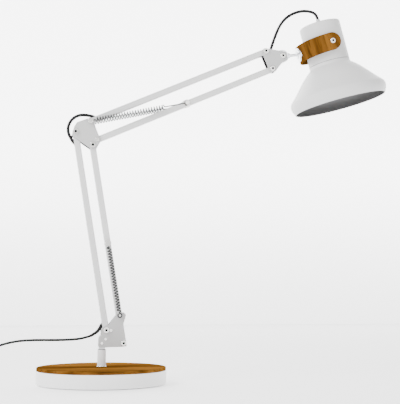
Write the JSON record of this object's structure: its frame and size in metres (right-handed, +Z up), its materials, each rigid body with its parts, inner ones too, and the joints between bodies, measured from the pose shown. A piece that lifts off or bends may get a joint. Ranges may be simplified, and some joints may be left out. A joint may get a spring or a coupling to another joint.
{
  "type": "swing arm desk lamp",
  "caption": "Free-standing desk lamp with a weighted round base, sprung parallel-tube arms, elbow and head plates, a wooden yoke and a bell shade on a cylindrical cap.",
  "frame": {"origin": "middle of the face that the base rests on", "axes": "+Z up, +X the way the arms reach, -Y the side of the pivot screw heads"},
  "size_m": [0.8032, 0.284, 0.6431],
  "materials": {
    "white_steel": "satin white powder coat on steel",
    "white_aluminium": "satin white powder coat on spun aluminium",
    "oak": "oiled oak, visible straight grain",
    "bent_ply": "oiled bent oak plywood",
    "weight_iron": "cast, oiled",
    "cover_steel": "zinc plated sheet",
    "pad_rubber": "matt foam rubber",
    "zinc_screws": "zinc plated",
    "bright_bolts": "bright nickel plated",
    "spring_steel": "drawn spring wire",
    "chrome": "polished chrome",
    "nylon": "natural nylon",
    "black_cord": "matt black PVC sheath",
    "black_plastic": "matt black moulding",
    "lampholder_plastic": "heat resistant moulding",
    "clear_gland": "translucent nylon",
    "opal_bulb": "opal globe",
    "plug_brass": "nickel plated brass"
  },
  "bodies": {
    "root": {"base_shell": "white_steel", "base_weight": "weight_iron", "base_cover": "cover_steel", "foot_pad": "pad_rubber", "base_top_wood": "oak", "wood_screws": "zinc_screws", "post": "white_steel", "post_collar": "chrome", "post_nut": "zinc_screws", "swivel_bush": "black_plastic", "mains_cord": "black_cord", "cord_tails": "black_cord", "cord_coil": "black_cord", "switch_base": "black_plastic", "switch_cover": "black_plastic", "plug_body": "black_plastic", "plug_pins": "plug_brass"},
    "turntable": {"swivel_pin": "zinc_screws", "bracket_rivets": "bright_bolts", "base_bracket_near": "white_steel", "base_bracket_far": "white_steel", "base_pivot_bolts": "bright_bolts", "lower_springs": "spring_steel"},
    "lower_rear_link": {"lower_rear_tube": "white_steel", "lower_rear_bushes": "nylon", "lower_arm_lead": "black_cord", "cord_strain_relief": "black_plastic"},
    "lower_front_link": {"lower_front_tube": "white_steel", "lower_front_bushes": "nylon", "lower_spring_screw": "bright_bolts"},
    "elbow": {"elbow_plate_near": "white_steel", "elbow_plate_far": "white_steel", "elbow_bolts": "bright_bolts", "elbow_lead": "black_cord", "upper_springs": "spring_steel"},
    "upper_top_link": {"upper_top_tube": "white_steel", "upper_top_bushes": "nylon", "upper_arm_lead": "black_cord"},
    "upper_bottom_link": {"upper_bottom_tube": "white_steel", "upper_bottom_bushes": "nylon", "upper_spring_clip": "bright_bolts"},
    "head_bracket": {"head_bracket_near": "white_steel", "head_bracket_far": "white_steel", "head_bracket_bolts": "bright_bolts", "neck_clamp_bolt": "bright_bolts", "head_lead": "black_cord"},
    "neck": {"neck_knuckle": "chrome", "neck_ball_stud": "chrome"},
    "yoke": {"yoke": "bent_ply", "ball_socket": "chrome", "yoke_screws": "bright_bolts"},
    "head": {"head_cap": "white_aluminium", "cap_pivot_bushes": "nylon", "shade": "white_aluminium", "shade_ring": "white_aluminium", "lampholder": "lampholder_plastic", "cap_gland": "clear_gland", "bulb": "opal_bulb"},
    "rocker": {"switch_rocker": "black_plastic"}
  },
  "joints": [
    {"name": "base_swivel", "type": "hinge", "parent": "root", "child": "turntable", "pos_m": [0, 0, 0.056], "axis": [0, 0, 1], "range_deg": [-170, 170], "deforming": ["mains_cord"]},
    {"name": "lower_arm_tilt", "type": "hinge", "parent": "turntable", "child": "lower_rear_link", "pos_m": [0.0065, 0, 0.087], "axis": [0, 1, 0], "range_deg": [-18, 72], "deforming": ["lower_springs", "cord_strain_relief"]},
    {"name": "lower_front_follow", "type": "hinge", "parent": "turntable", "child": "lower_front_link", "pos_m": [0.0348, 0, 0.0657], "axis": [0, 1, 0], "range_deg": [-18, 72]},
    {"name": "elbow_level", "type": "hinge", "parent": "lower_rear_link", "child": "elbow", "pos_m": [-0.04723, 0, 0.41158], "axis": [0, 1, 0], "range_deg": [-72, 18], "deforming": ["elbow_lead"]},
    {"name": "upper_arm_tilt", "type": "hinge", "parent": "elbow", "child": "upper_top_link", "pos_m": [-0.02343, 0, 0.42978], "axis": [0, 1, 0], "range_deg": [-50, 55], "deforming": ["upper_springs"]},
    {"name": "upper_bottom_follow", "type": "hinge", "parent": "elbow", "child": "upper_bottom_link", "pos_m": [-0.01173, 0, 0.39948], "axis": [0, 1, 0], "range_deg": [-50, 55]},
    {"name": "head_bracket_level", "type": "hinge", "parent": "upper_top_link", "child": "head_bracket", "pos_m": [0.27712, 0, 0.5636], "axis": [0, 1, 0], "range_deg": [-55, 50], "deforming": ["head_lead"]},
    {"name": "neck_tilt", "type": "hinge", "parent": "head_bracket", "child": "neck", "pos_m": [0.3075, 0, 0.5569], "axis": [0, 1, 0], "range_deg": [-35, 50]},
    {"name": "yoke_roll", "type": "hinge", "parent": "neck", "child": "yoke", "pos_m": [0.34116, 0, 0.56273], "axis": [0.9853, 0, 0.1707], "range_deg": [-90, 90]},
    {"name": "head_tilt", "type": "hinge", "parent": "yoke", "child": "head", "pos_m": [0.3866, 0, 0.5782], "axis": [0, 1, 0], "range_deg": [-20, 14]},
    {"name": "switch_rock", "type": "hinge", "parent": "root", "child": "rocker", "pos_m": [-0.301, 0.092, 0.0096], "axis": [1, 0, 0], "range_deg": [0, 12]}
  ],
  "couplings": [
    {"joint": "lower_front_follow", "follows": "lower_arm_tilt", "ratio": 1},
    {"joint": "elbow_level", "follows": "lower_arm_tilt", "ratio": -1},
    {"joint": "upper_bottom_follow", "follows": "upper_arm_tilt", "ratio": 1},
    {"joint": "head_bracket_level", "follows": "upper_arm_tilt", "ratio": -1}
  ]
}
